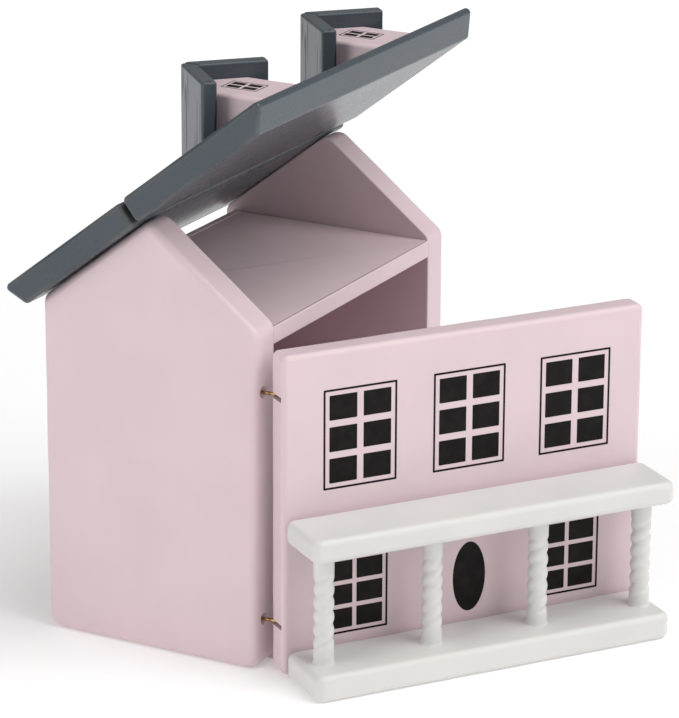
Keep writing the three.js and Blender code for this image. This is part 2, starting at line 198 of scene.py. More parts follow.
class Finish:
    """A material under construction."""

    def __init__(self, name):
        self.material = bpy.data.materials.new(name)
        self.material.use_nodes = True
        self.tree = self.material.node_tree
        self.tree.nodes.clear()

    def node(self, kind, settings=None, sockets=None, output=0):
        """Adds a node: its type, its settings, and a value or a Wire for each socket that is used."""
        made = self.tree.nodes.new(kind)
        for setting, value in (settings or {}).items():
            setattr(made, setting, value)
        for socket, value in (sockets or {}).items():
            if isinstance(value, Wire):
                self.tree.links.new(value.socket, made.inputs[socket])
            else:
                made.inputs[socket].default_value = value
        return Wire(self, made.outputs[output]) if made.outputs else None

    def place(self):
        return self.node("ShaderNodeTexCoord", output="Object")

    def noise(self, place, scale, detail=2, roughness=0.5, distortion=0):
        sockets = {
            "Vector": place, "Scale": scale, "Detail": detail, "Roughness": roughness,
            "Distortion": distortion,
        }
        return self.node("ShaderNodeTexNoise", {"normalize": True}, sockets)

    def streaks(self, place, axis, slow, fast, detail=2, distortion=0):
        """Noise that changes slowly along an axis and fast across it."""
        scale = tuple(slow if name == axis else fast for name in AXES)
        drawn_out = self.node("ShaderNodeVectorMath", {"operation": "MULTIPLY"}, {0: place, 1: scale})
        return self.noise(drawn_out, 1, detail, distortion=distortion)

    def mix(self, factor, first, second):
        """Colours first and second, mixed by factor; the node's colour sockets are numbers 6 and 7."""
        return self.node("ShaderNodeMix", {"data_type": "RGBA"}, {0: factor, 6: first, 7: second}, output=2)

    def bump(self, height, depth):
        return self.node("ShaderNodeBump", sockets={"Height": height, "Distance": depth})

    def surface(self, sockets):
        """Ends the material in one Principled BSDF with these sockets."""
        shader = self.node("ShaderNodeBsdfPrincipled", sockets=sockets)
        self.node("ShaderNodeOutputMaterial", sockets={"Surface": shader})
        return self.material


def rgba(value, shade=1.0):
    return (value[0] * shade, value[1] * shade, value[2] * shade, 1.0)


def painted_wood(name, base, wood, grain_axis, roughness, peel, grain, cracks=0.0, specular=0.5):
    """Sprayed paint over wood: mottling, orange peel, grain and cracks that show through, thin at edges."""
    finish = Finish(name)
    place = finish.place()
    mottle = finish.noise(place, 34, detail=3)
    fine = finish.noise(place, 620, detail=2, roughness=0.6)
    fibres = finish.streaks(place, grain_axis, 14, 420, detail=4, distortion=0.35)
    rings = finish.streaks(place, grain_axis, 9, 120, detail=2, distortion=0.8)
    edge = finish.node("ShaderNodeAttribute", {"attribute_name": "edge"}, output="Fac")
    seams = 1 - abs(rings - 0.5).between(0.008, 0.045)
    broken = finish.streaks(place, grain_axis, 40, 160, detail=1).between(0.38, 0.48)
    crack = seams * broken * cracks
    tone = finish.mix(mottle.between(0.3, 0.7), rgba(base, 0.975), rgba(base, 1.02))
    tone = finish.mix(fibres.between(0.35, 0.75) * (grain * 0.18), tone, rgba(base, 0.86))
    thin = edge * mottle.between(0.42, 0.72) * 0.1
    tone = finish.mix(thin, tone, rgba(wood))
    tone = finish.mix(crack, tone, rgba(base, 0.06))
    shine = roughness + (mottle - 0.5) * 0.08 + (fine - 0.5) * 0.06 + crack * 0.3
    height = fine * peel + fibres * grain + rings * (grain * 0.8) - crack * 2.5
    normal = finish.bump(height, 0.06 * MM)
    return finish.surface({
        "Base Color": tone, "Roughness": shine, "Specular IOR Level": specular, "Normal": normal,
    })


def printed_ink(name, base):
    """Screen-printed ink: almost black, with a fine uneven film."""
    finish = Finish(name)
    place = finish.place()
    film = finish.noise(place, 260, detail=3)
    grit = finish.noise(place, 1500, detail=1)
    tone = finish.mix(film.between(0.35, 0.7), rgba(base, 0.8), rgba(base, 1.35))
    shine = 0.42 + (grit - 0.5) * 0.2
    normal = finish.bump(grit + film, 0.012 * MM)
    return finish.surface({
        "Base Color": tone, "Roughness": shine, "Specular IOR Level": 0.1, "Normal": normal,
    })


def aged_brass(name, base):
    """Drawn brass wire, dulled brown in patches."""
    finish = Finish(name)
    place = finish.place()
    dull = finish.noise(place, 700, detail=3).between(0.42, 0.66)
    scratches = finish.noise(place, 3200, detail=2)
    brown = (0.07, 0.028, 0.018)
    tone = finish.mix(dull, rgba(base), rgba(brown))
    normal = finish.bump(scratches, 0.02 * MM)
    return finish.surface({
        "Base Color": tone, "Roughness": 0.26 + dull * 0.3, "Metallic": 1.0, "Normal": normal,
    })


def bare_wood(name, base, grain_axis):
    """Unpainted beech with fine fibres."""
    finish = Finish(name)
    place = finish.place()
    fibres = finish.streaks(place, grain_axis, 60, 1500, detail=4)
    flecks = finish.streaks(place, grain_axis, 220, 2600, detail=1).between(0.6, 0.7)
    tone = finish.mix(fibres.between(0.3, 0.7), rgba(base, 0.8), rgba(base, 1.15))
    tone = finish.mix(flecks * 0.4, tone, rgba(base, 0.45))
    normal = finish.bump(fibres, 0.03 * MM)
    return finish.surface({"Base Color": tone, "Roughness": 0.62 + fibres * 0.1, "Normal": normal})


PAINTS = {
    "pink_paint": ("pink", {"roughness": 0.42, "peel": 0.35, "grain": 0.25}),
    "grey_paint": ("grey", {"roughness": 0.28, "peel": 0.06, "grain": 0.3, "specular": 0.36}),
    "grey_grained": ("grey", {"roughness": 0.3, "peel": 0.15, "grain": 1.6, "cracks": 1.0, "specular": 0.4}),
    "white_paint": ("white", {"roughness": 0.4, "peel": 0.4, "grain": 0.2}),
}


def finish_for(context, kind, grain_axis="X"):
    """The named finish, made the first time it is asked for."""
    name = f"{kind}_{grain_axis.lower()}"
    if name in bpy.data.materials:
        return bpy.data.materials[name]
    shades = context.scene.dollhouse_finish
    if kind in PAINTS:
        shade, qualities = PAINTS[kind]
        return painted_wood(name, getattr(shades, shade), shades.wood, grain_axis, **qualities)
    makers = {
        "ink": lambda: printed_ink(name, shades.ink),
        "brass": lambda: aged_brass(name, shades.brass),
        "bare_wood": lambda: bare_wood(name, shades.wood, grain_axis),
    }
    return makers[kind]()


# ---- Frames of the house's parts ------------------------------------------------------------------


def peak_height(house):
    half_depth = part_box("left_wall")[1].y
    return house.eave_height + half_depth * math.tan(house.roof_pitch)


def back_roof_place(context):
    house = context.scene.dollhouse_house
    ridge = Matrix.Translation((0, 0, peak_height(house)))
    return ridge @ Matrix.Rotation(-house.roof_pitch, 4, "X")


def front_roof_place(context):
    """The raised front roof's frame: its pins' axis, with +Y towards the ridge and +Z out of the roof."""
    joint = JOINTS["front_roof_lift"]
    raised = -math.radians(joint["range_deg"][0]) - context.scene.dollhouse_house.roof_pitch
    return Matrix.Translation(joint["pos_m"]) @ Matrix.Rotation(-raised, 4, "X")


def front_wall_place():
    """The opened front wall's frame: its pins' axis, with +X along the wall and -Y out of its face."""
    joint = JOINTS["front_wall_swing"]
    opened = -math.radians(joint["range_deg"][0])
    return Matrix.Translation(joint["pos_m"]) @ Matrix.Rotation(-opened, 4, "Z")


def box_in(node, place):
    """(lowest corner, highest corner) of a CAD node in a turned frame."""
    inverse = place.inverted()
    corners = [inverse @ vertex.co for vertex in frame["nodes"][node].data.vertices]
    return Vector(map(min, zip(*corners))), Vector(map(max, zip(*corners)))


# ---- Mesh work ----------------------------------------------------------------------------------


def rectangle(low, high):
    return [(low[0], low[1]), (high[0], low[1]), (high[0], high[1]), (low[0], high[1])]


def full_turn(count):
    """Angles evenly round a circle."""
    return [2 * math.pi * k / count for k in range(count)]


def smooth(share):
    """Eases a share between 0 and 1 in and out."""
    return share * share * (3 - 2 * share)


def eased_outline(corners, radius, step=4 * MM, arc=7):
    """Points and outward directions round an anticlockwise outline, with arcs for corners."""
    corners = [Vector(corner) for corner in corners]
    arcs = []
    for i, corner in enumerate(corners):
        before = (corners[i - 1] - corner).normalized()
        after = (corners[(i + 1) % len(corners)] - corner).normalized()
        half = before.angle(after) / 2
        inward = (before + after).normalized()
        centre = corner + inward * (radius / math.sin(half))
        middle = math.atan2(-inward.y, -inward.x)
        sweep = RIGHT_ANGLE - half
        turns = [middle + sweep * (2 * k / arc - 1) for k in range(arc + 1)]
        arcs.append([(centre, Vector((math.cos(turn), math.sin(turn)))) for turn in turns])
    outline = []
    for here, there in zip(arcs, arcs[1:] + arcs[:1]):
        outline += [(centre + outward * radius, outward) for centre, outward in here]
        start = outline[-1][0]
        end = there[0][0] + there[0][1] * radius
        pieces = max(1, round((end - start).length / step))
        outline += [(start.lerp(end, k / pieces), here[-1][1]) for k in range(1, pieces)]
    return outline


def easing(low, high, low_round, high_round, steps=5):
    """(inset, height, edge share) up the side of a board, from its low face to its high face."""
    lower, upper = [], []
    for k in range(steps + 1):
        angle = RIGHT_ANGLE * k / steps
        falling, rising = 1 - math.sin(angle), 1 - math.cos(angle)
        share = math.sin(2 * angle)
        lower.append((low_round * falling, low + low_round * rising, share))
        upper.append((high_round * rising, high - high_round * falling, share))
    return lower + upper


def skin(mesh, rings, closed=True):
    """Faces between successive rings of vertices, and over both ends if closed."""
    for ring, following in zip(rings, rings[1:]):
        for i, vertex in enumerate(ring):
            following_i = (i + 1) % len(ring)
            mesh.faces.new((vertex, ring[following_i], following[following_i], following[i]))
    if closed:
        mesh.faces.new(reversed(rings[0]))
        mesh.faces.new(rings[-1])


def waver(point, height, seed):
    """A small slow wandering of a hand-sanded edge, from -1 to 1."""
    around, upwards, per_seed = 70, 30, 7.3
    spot = Vector((point.x * around, point.y * around, height * upwards + seed * per_seed))
    return noise.noise(spot)


def board_mesh(corners, corner_round, low, high, rounds, axis, seed, unevenness=0.09 * MM):
    """A sawn board: an outline across an axis, between low and high on it, with its edges rounded."""
    worn = 0.18
    mesh = bmesh.new()
    edge = mesh.verts.layers.float.new("edge")
    outline = eased_outline(corners, corner_round)
    rings = []
    for inset, height, share in easing(low, high, *rounds):
        ring = []
        for point, outward in outline:
            sanded = inset * (1 + worn * waver(point, 0, seed + 1))
            spot = point + outward * (unevenness * waver(point, height, seed) - sanded)
            vertex = mesh.verts.new((spot.x, spot.y, height))
            vertex[edge] = share
            ring.append(vertex)
        rings.append(ring)
    skin(mesh, rings)
    mesh.transform(LAID[axis])
    return mesh


def box_board(box, axis, corner_round, rounds, seed):
    """A rectangular board that fills a box, its thickness along the named axis."""
    low, high = box
    through = AXES[axis]
    across = [i for i in range(3) if i != through]
    corners = rectangle([low[i] for i in across], [high[i] for i in across])
    return board_mesh(corners, corner_round, low[through], high[through], rounds, axis, seed)


def turned_mesh(profile, sides):
    """A turned solid round the Z axis from (radius, height) pairs."""
    mesh = bmesh.new()
    rings = []
    for radius, height in profile:
        spots = [(radius * math.cos(angle), radius * math.sin(angle), height) for angle in full_turn(sides)]
        rings.append([mesh.verts.new(spot) for spot in spots])
    skin(mesh, rings)
    return mesh


def wire_mesh(path, radii, sides=14):
    """A bent wire whose section is carried along the path without twisting."""
    mesh = bmesh.new()
    across = (path[1] - path[0]).orthogonal().normalized()
    rings = []
    for i, (spot, radius) in enumerate(zip(path, radii)):
        ahead = (path[min(i + 1, len(path) - 1)] - path[max(i - 1, 0)]).normalized()
        across = (across - ahead * across.dot(ahead)).normalized()
        beside = ahead.cross(across)
        outwards = [across * math.cos(angle) + beside * math.sin(angle) for angle in full_turn(sides)]
        rings.append([mesh.verts.new(spot + outward * radius) for outward in outwards])
    skin(mesh, rings)
    return mesh


def to_object(mesh, name, place):
    bmesh.ops.recalc_face_normals(mesh, faces=mesh.faces)
    data = bpy.data.meshes.new(name)
    mesh.to_mesh(data)
    mesh.free()
    piece = bpy.data.objects.new(name, data)
    piece.matrix_world = place
    bpy.context.scene.collection.objects.link(piece)
    return piece


def bake_modifiers(piece):
    """Puts what a piece's modifiers make into its own mesh."""
    graph = bpy.context.evaluated_depsgraph_get()
    shaped = piece.evaluated_get(graph)
    made = bpy.data.meshes.new_from_object(shaped, preserve_all_data_layers=True, depsgraph=graph)
    made.name = piece.name
    piece.modifiers.clear()
    piece.data = made


def cut_away(piece, cutters):
    for cutter in cutters:
        tool = piece.modifiers.new("cut", "BOOLEAN")
        tool.operation = "DIFFERENCE"
        tool.solver = "EXACT"
        tool.object = cutter
    bake_modifiers(piece)
    for cutter in cutters:
        bpy.data.objects.remove(cutter)


def shade(piece):
    """Smooth shading that keeps flat faces flat and cut edges crisp."""
    piece.data.shade_smooth()
    piece.data.set_sharp_from_angle(angle=math.radians(38))
    tool = piece.modifiers.new("flat faces", "WEIGHTED_NORMAL")
    tool.keep_sharp = True
    tool.weight = 80
    bake_modifiers(piece)


def finished(context, mesh, name, place, body, node, kind, grain_axis="X", cutters=()):
    """Finishes a mesh as a piece that rides on a body and stands in for a CAD node, if one is given."""
    piece = to_object(mesh, name, place)
    if cutters:
        cut_away(piece, cutters)
    shade(piece)
    piece.data.materials.clear()
    piece.data.materials.append(finish_for(context, kind, grain_axis))
    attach(piece, body)
    if node:
        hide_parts(node)


# ---- House body -----------------------------------------------------------------------------------


class DOLLHOUSE_OT_side_walls(bpy.types.Operator):
    """Builds the two gabled side walls, the left one with the seats of the front wall's screw eyes."""

    bl_idname = "dollhouse.side_walls"
    bl_label = "Side walls"

    def execute(self, context):
        house = context.scene.dollhouse_house
        for side in SIDES:
            low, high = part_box(f"{side}_wall")
            peak = peak_height(house)
            eave = house.eave_height
            gable = [(low.y, 0), (high.y, 0), (high.y, eave), (0, peak), (low.y, eave)]
            rounds = (house.wall_round, house.inner_round)
            if side == "right":
                rounds = rounds[::-1]
            mesh = board_mesh(gable, house.wall_corner, low.x, high.x, rounds, "X", SIDES[side])
            cutters = [self.back_groove(side)]
            if side == "left":
                cutters += [self.eye_seat(house, place) for place in ("upper", "lower")]
            finished(
                context, mesh, f"{side}_gable_wall", SHARED_FRAME, "house", f"{side}_wall", "pink_paint", "Z",
                cutters,
            )
        return {"FINISHED"}

    def back_groove(self, side):
        """The groove that holds the back panel."""
        low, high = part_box("back_panel")
        spare = 0.1 * MM
        reach = 1 * MM
        sign = SIDES[side]
        end = high.x if sign > 0 else low.x
        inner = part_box(f"{side}_wall")[0 if sign > 0 else 1].x - sign * reach
        section = rectangle((min(end, inner), low.y - spare), (max(end, inner), high.y + spare))
        mesh = bmesh.new()
        rings = [[mesh.verts.new((x, y, z)) for x, y in section] for z in (-reach, high.z + spare)]
        skin(mesh, rings)
        return to_object(mesh, f"{side}_groove_cutter", SHARED_FRAME)

    def eye_seat(self, house, place):
        """A countersunk dimple round a screw eye's shank."""
        low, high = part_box(f"{place}_front_wall_screw_eye")
        centre = Vector(((low.x + high.x) / 2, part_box("left_wall")[0].y, (low.z + high.z) / 2))
        rim = house.eye_seat
        spare = shoulder = 0.5 * MM
        depth = 1.3 * MM
        profile = [(rim + spare, -spare), (rim, 0), (rim * 0.82, shoulder), (0.55 * rim, depth)]
        mouth = Matrix.Translation(centre) @ Matrix.Rotation(-RIGHT_ANGLE, 4, "X")
        return to_object(turned_mesh(profile, 40), f"{place}_seat_cutter", mouth)


class DOLLHOUSE_OT_floors(bpy.types.Operator):
    """Builds the three floors, housed in the side walls."""

    bl_idname = "dollhouse.floors"
    bl_label = "Floors"

    def execute(self, context):
        house = context.scene.dollhouse_house
        flush = 0.03 * MM
        for seed, floor in enumerate(("bottom", "middle", "attic")):
            low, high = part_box(f"{floor}_floor")
            low = low + Vector((-house.floor_housing, flush, 0))
            high = high + Vector((house.floor_housing, 0, 0))
            rounds = (house.floor_round, house.floor_round)
            mesh = box_board((low, high), "Z", house.floor_round * 0.6, rounds, 10 + seed)
            name = f"{floor}_room_floor"
            finished(context, mesh, name, SHARED_FRAME, "house", f"{floor}_floor", "pink_paint")
        return {"FINISHED"}


class DOLLHOUSE_OT_back_panel(bpy.types.Operator):
    """Builds the thin back panel that slides into the side walls."""

    bl_idname = "dollhouse.back_panel"
    bl_label = "Back panel"

    def execute(self, context):
        edge = 0.6 * MM
        mesh = box_board(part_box("back_panel"), "Y", edge * 1.4, (edge, edge), 20)
        finished(context, mesh, "sliding_back_panel", SHARED_FRAME, "house", "back_panel", "pink_paint")
        return {"FINISHED"}


# ---- Roofs ----------------------------------------------------------------------------------------


class DOLLHOUSE_OT_roof_boards(bpy.types.Operator):
    """Builds the fixed back roof board and the front one that lifts."""

    bl_idname = "dollhouse.roof_boards"
    bl_label = "Roof boards"

    def execute(self, context):
        house = context.scene.dollhouse_house
        self.back_board(context, house)
        self.front_board(context, house)
        return {"FINISHED"}

    def slab(self, house, corners, low, high, seed):
        rounds = (house.roof_round, house.roof_round)
        return board_mesh(corners, house.roof_corner, low, high, rounds, "X", seed, unevenness=0.07 * MM)

    def back_board(self, context, house):
        place = back_roof_place(context)
        low, high = box_in("back_roof_board", place)
        foot = high.y - house.back_eave_bevel
        corners = [(low.y, low.z), (foot, low.z), (high.y, high.z), (low.y, high.z)]
        mesh = self.slab(house, corners, low.x, high.x, 30)
        finished(context, mesh, "fixed_back_roof", place, "house", "back_roof_board", "grey_paint")

    def front_board(self, context, house):
        place = front_roof_place(context)
        low, high = box_in("front_roof_board", place)
        foot = low.y + house.front_eave_bevel
        corners = [(low.y, high.z), (foot, low.z), (high.y, low.z), (high.y, high.z)]
        mesh = self.slab(house, corners, low.x, high.x, 40)
        cutters = []
        for side in SIDES:
            pin_low, pin_high = box_in(f"{side}_roof_pin", place)
            cutters.append(slot_cutter(house, place, (pin_low + pin_high) / 2, "X"))
        finished(
            context, mesh, "lifting_front_roof", place, "front_roof", "front_roof_board", "grey_paint",
            cutters=cutters,
        )


def slot_cutter(house, place, centre, axis):
    """The disc that a saw takes out for a screw eye, round a hinge pin that runs along the axis."""
    half = house.slot_width / 2
    mesh = turned_mesh([(house.slot_radius, -half), (house.slot_radius, half)], 72)
    turn = Matrix.Rotation(RIGHT_ANGLE, 4, "Y") if axis == "X" else Matrix.Identity(4)
    return to_object(mesh, "slot_cutter", place @ Matrix.Translation(centre) @ turn)


def dormer_place(context, side):
    """A dormer's frame on the front roof: origin where its ridge starts, -Y along the ridge."""
    dormer = context.scene.dollhouse_dormer
    place = front_roof_place(context)
    high = box_in("front_roof_board", place)[1]
    body_low, body_high = box_in(f"{side}_dormer_body", place)
    start = Vector(((body_low.x + body_high.x) / 2, high.y - dormer.start, high.z))
    return place @ Matrix.Translation(start) @ Matrix.Rotation(-dormer.lean, 4, "X")


class DOLLHOUSE_OT_dormers(bpy.types.Operator):
    """Builds the two dormers: a pink block under two mitred roof boards."""

    bl_idname = "dollhouse.dormers"
    bl_label = "Dormers"

    def execute(self, context):
        dormer = context.scene.dollhouse_dormer
        for seed, side in enumerate(SIDES):
            name = f"{side}_dormer"
            place = dormer_place(context, side)
            section = self.block_section(dormer)
            block = self.on_roof(dormer, section, dormer.body_reach, dormer.block_edge, 50 + seed)
            finished(context, block, f"{name}_block", place, "front_roof", f"{name}_body", "pink_paint", "Y")
            for slope, sign in SIDES.items():
                section = self.board_section(dormer, sign)
                board = self.on_roof(dormer, section, dormer.roof_reach, dormer.edge, 60 + seed + sign)
                surface = "grey_grained" if slope == "left" else "grey_paint"
                finished(
                    context, board, f"{name}_{slope}_slope", place, "front_roof", f"{name}_{slope}_roof",
                    surface, "Y",
                )
        return {"FINISHED"}

    def block_section(self, dormer):
        half = dormer.half_width
        glue = 0.1 * MM
        spare = 6 * MM
        ridge = -dormer.board * math.sqrt(2) - glue
        foot = -dormer.body_reach * math.tan(dormer.lean) - spare
        return [(-half, foot), (half, foot), (half, ridge - half), (0, ridge), (-half, ridge - half)]

    def board_section(self, dormer, sign):
        run = dormer.slope * math.sqrt(0.5)
        thick = dormer.board * math.sqrt(0.5)
        mitre = 0.05 * MM
        section = [(mitre, 0), (mitre, -2 * thick), (run - thick, -run - thick), (run, -run)]
        section = [(sign * x, z) for x, z in section]
        return section if sign > 0 else section[::-1]

    def on_roof(self, dormer, section, reach, edge, seed):
        """A bar along the ridge, its back end sawn off on the roof board's face."""
        spare = 6 * MM
        sunk = 0.1 * MM
        rounds = (edge, edge)
        mesh = board_mesh(section, edge * 1.2, -reach, spare, rounds, "Y", seed, unevenness=0.05 * MM)
        up = Vector((0, -math.sin(dormer.lean), math.cos(dormer.lean)))
        everything = mesh.verts[:] + mesh.edges[:] + mesh.faces[:]
        cut = bmesh.ops.bisect_plane(
            mesh, geom=everything, plane_co=-up * sunk, plane_no=up, clear_inner=True,
        )
        rim = [item for item in cut["geom_cut"] if isinstance(item, bmesh.types.BMEdge)]
        bmesh.ops.holes_fill(mesh, edges=rim, sides=0)
        return mesh


# ---- Front wall and porch ---------------------------------------------------------------------------


class DOLLHOUSE_OT_front_wall(bpy.types.Operator):
    """Builds the front wall that swings open, with a saw slot at each hinge pin."""

    bl_idname = "dollhouse.front_wall"
    bl_label = "Front wall"

    def execute(self, context):
        house = context.scene.dollhouse_house
        front = context.scene.dollhouse_front
        place = front_wall_place()
        rounds = (front.edge, front.edge)
        mesh = box_board(box_in("front_wall", place), "Y", front.corner, rounds, 70)
        cutters = []
        for pin in ("upper", "lower"):
            low, high = box_in(f"{pin}_front_wall_pin", place)
            cutters.append(slot_cutter(house, place, (low + high) / 2, "Z"))
        finished(
            context, mesh, "swinging_front_wall", place, "front_wall", "front_wall", "pink_paint",
            cutters=cutters,
        )
        return {"FINISHED"}


class DOLLHOUSE_OT_porch(bpy.types.Operator):
    """Builds the porch's floor and roof boards."""

    bl_idname = "dollhouse.porch"
    bl_label = "Porch boards"
    boards = {"porch_base": "porch_floor", "porch_roof": "porch_canopy"}

    def execute(self, context):
        front = context.scene.dollhouse_front
        place = front_wall_place()
        wall_face = box_in("front_wall", place)[0].y
        pressed_in = 0.02 * MM
        lowered = 0.4 * MM
        clear_of_ground = 0.1 * MM
        rounds = (front.porch_edge, front.porch_edge)
        for seed, (node, name) in enumerate(self.boards.items()):
            low, high = box_in(node, place)
            high.y = wall_face + pressed_in
            if node == "porch_base":
                low.z = max(low.z - lowered, clear_of_ground)
            mesh = box_board((low, high), "Z", front.porch_corner, rounds, 80 + seed)
            finished(context, mesh, name, place, "front_wall", node, "white_paint")
        return {"FINISHED"}


class DOLLHOUSE_OT_columns(bpy.types.Operator):
    """Builds the four turned columns, each with two rope strands round its middle."""

    bl_idname = "dollhouse.columns"
    bl_label = "Porch columns"
    count = 4
    strand_turns = 8
    rings = 150
    sides = 48
    flare_height = 0.45 * MM
    strand_fade = 2 * MM
    softness = 0.12
    turn_apart = 0.7

    def execute(self, context):
        front = context.scene.dollhouse_front
        place = front_wall_place()
        edge_x = box_in("front_wall", place)[0].x
        floor_top = box_in("porch_base", place)[1].z
        canopy = box_in("porch_roof", place)[0].z
        low, high = box_in("porch_column_1", place)
        axis_y = (low.y + high.y) / 2
        for i in range(self.count):
            axis_x = edge_x + front.first_column + i * front.column_pitch
            foot = place @ Matrix.Translation((axis_x, axis_y, floor_top))
            mesh = self.column(front, canopy - floor_top, i * self.turn_apart)
            finished(
                context, mesh, f"rope_column_{i + 1}", foot, "front_wall", f"porch_column_{i + 1}",
                "white_paint", "Z",
            )
        return {"FINISHED"}

    def column(self, front, tall, turn):
        mesh = bmesh.new()
        rings = []
        for k in range(self.rings + 1):
            height = tall * k / self.rings
            flare = math.exp(-min(height, tall - height) / self.flare_height) * front.foot_flare
            ring = []
            for angle in full_turn(self.sides):
                radius = front.column_radius + flare - self.groove(front, height, tall, angle + turn)
                ring.append(mesh.verts.new((radius * math.cos(angle), radius * math.sin(angle), height)))
            rings.append(ring)
        skin(mesh, rings)
        return mesh

    def groove(self, front, height, tall, angle):
        """Depth of the paint-softened groove between the two strands."""
        inside = min(height - front.column_base, tall - height - front.column_cap)
        share = smooth(min(1, max(0, inside / self.strand_fade)))
        across = math.sin(angle - math.pi * self.strand_turns * height / tall)
        lowest, highest = math.sqrt(self.softness), math.sqrt(1 + self.softness)
        strand = (math.sqrt(across * across + self.softness) - lowest) / (highest - lowest)
        return front.column_groove * share * (1 - strand)


# ---- Hardware ---------------------------------------------------------------------------------------


class DOLLHOUSE_OT_screw_eyes(bpy.types.Operator):
    """Bends the four screw eyes from wire, and finishes the hinge pins inside the boards."""

    bl_idname = "dollhouse.screw_eyes"
    bl_label = "Screw eyes"
    wire = 0.6 * MM
    ring = 1.42 * MM
    ring_start = math.radians(28)
    ring_end = math.radians(322)
    ring_steps = 40
    neck_steps = 8
    neck_length = 1.1 * MM
    neck_swell = 0.9 * MM
    shank_steps = 40
    point_length = 2 * MM
    point_share = 0.06

    def execute(self, context):
        back = back_roof_place(context)
        for side in SIDES:
            node = f"{side}_roof_screw_eye"
            pin_low, pin_high = box_in(f"{side}_roof_pin", back)
            centre = (pin_low + pin_high) / 2
            reach = box_in(node, back)[1].y - centre.y
            self.eye(context, node, back @ Matrix.Translation(centre), reach)
        upright = Matrix.Rotation(RIGHT_ANGLE, 4, "Y")
        for height in ("upper", "lower"):
            node = f"{height}_front_wall_screw_eye"
            pin_low, pin_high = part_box(f"{height}_front_wall_pin")
            centre = (pin_low + pin_high) / 2
            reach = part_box(node)[1].y - centre.y
            self.eye(context, node, Matrix.Translation(centre) @ upright, reach)
        for node in frame["nodes"]:
            if node.endswith("_pin"):
                frame["nodes"][node].data.materials[0] = finish_for(context, "brass")
        return {"FINISHED"}

    def eye(self, context, node, place, reach):
        """A wire ring round the X axis that bends out into a pointed shank along +Y."""
        path = []
        for k in range(self.ring_steps + 1):
            angle = self.ring_start + (self.ring_end - self.ring_start) * k / self.ring_steps
            path.append(Vector((0, self.ring * math.cos(angle), self.ring * math.sin(angle))))
        neck = path[-1]
        bend = Vector((0, self.ring + self.neck_length, 0))
        onwards = Vector((0, -neck.z, neck.y)).normalized() * self.neck_swell
        for k in range(1, self.neck_steps + 1):
            share = k / self.neck_steps
            path.append((neck + onwards * share).lerp(bend, smooth(share)))
        point = Vector((0, reach, 0))
        path += [bend.lerp(point, k / self.shank_steps) for k in range(1, self.shank_steps + 1)]
        tapers = [min(1, max(self.point_share, (reach - spot.y) / self.point_length)) for spot in path]
        mesh = wire_mesh(path, [self.wire * taper for taper in tapers])
        finished(context, mesh, f"{node}_wire", place, "house", node, "brass", "Y")


class DOLLHOUSE_OT_dowels(bpy.types.Operator):
    """Finishes the bare wooden dowels inside the joints."""

    bl_idname = "dollhouse.dowels"
    bl_label = "Dowels"

    def execute(self, context):
        for name, node in frame["nodes"].items():
            if "dowel" in name:
                grain_axis = "Y" if name.startswith("porch") else "X"
                node.data.materials[0] = finish_for(context, "bare_wood", grain_axis)
        return {"FINISHED"}


# ---- Printing ---------------------------------------------------------------------------------------


def ink_corners(low, high, radius):
    """The outline of a printed rectangle, with slightly rounded corners."""
    return [point for point, _ in eased_outline(rectangle(low, high), radius, UNDIVIDED, 4)]


def ink_loop(mesh, outline, level):
    return [mesh.verts.new((point.x, level, point.y)) for point in outline]


def ink_sheet(mesh, outline, face, depth):
    """A closed film of ink over a face that looks towards -Y."""
    skin(mesh, [ink_loop(mesh, outline, level) for level in (face + depth / 4, face - depth)])


def ink_frame(mesh, low, high, width, face, depth):
    """A closed ring of ink round a rectangle."""
    outer = ink_corners(low, high, width * 0.4)
    inner = ink_corners((low[0] + width, low[1] + width), (high[0] - width, high[1] - width), width * 0.15)
    over, under = face - depth, face + depth / 4
    levels = ((outer, over), (inner, over), (inner, under), (outer, under))
    loops = [ink_loop(mesh, outline, level) for outline, level in levels]
    skin(mesh, loops + loops[:1], closed=False)


def window_print(front, low, high, panes_across, panes_up, margin, gap, face, line):
    """A printed sash window: a thin line round rows of black panes."""
    pane_corner = 0.22 * MM
    mesh = bmesh.new()
    ink_frame(mesh, low, high, line, face, front.ink_depth)
    inner_low = (low[0] + margin, low[1] + margin)
    wide = (high[0] - low[0] - 2 * margin - gap * (panes_across - 1)) / panes_across
    tall = (high[1] - low[1] - 2 * margin - gap * (panes_up - 1)) / panes_up
    for column in range(panes_across):
        for row in range(panes_up):
            corner = (inner_low[0] + column * (wide + gap), inner_low[1] + row * (tall + gap))
            pane = ink_corners(corner, (corner[0] + wide, corner[1] + tall), pane_corner)
            ink_sheet(mesh, pane, face, front.ink_depth)
    return mesh


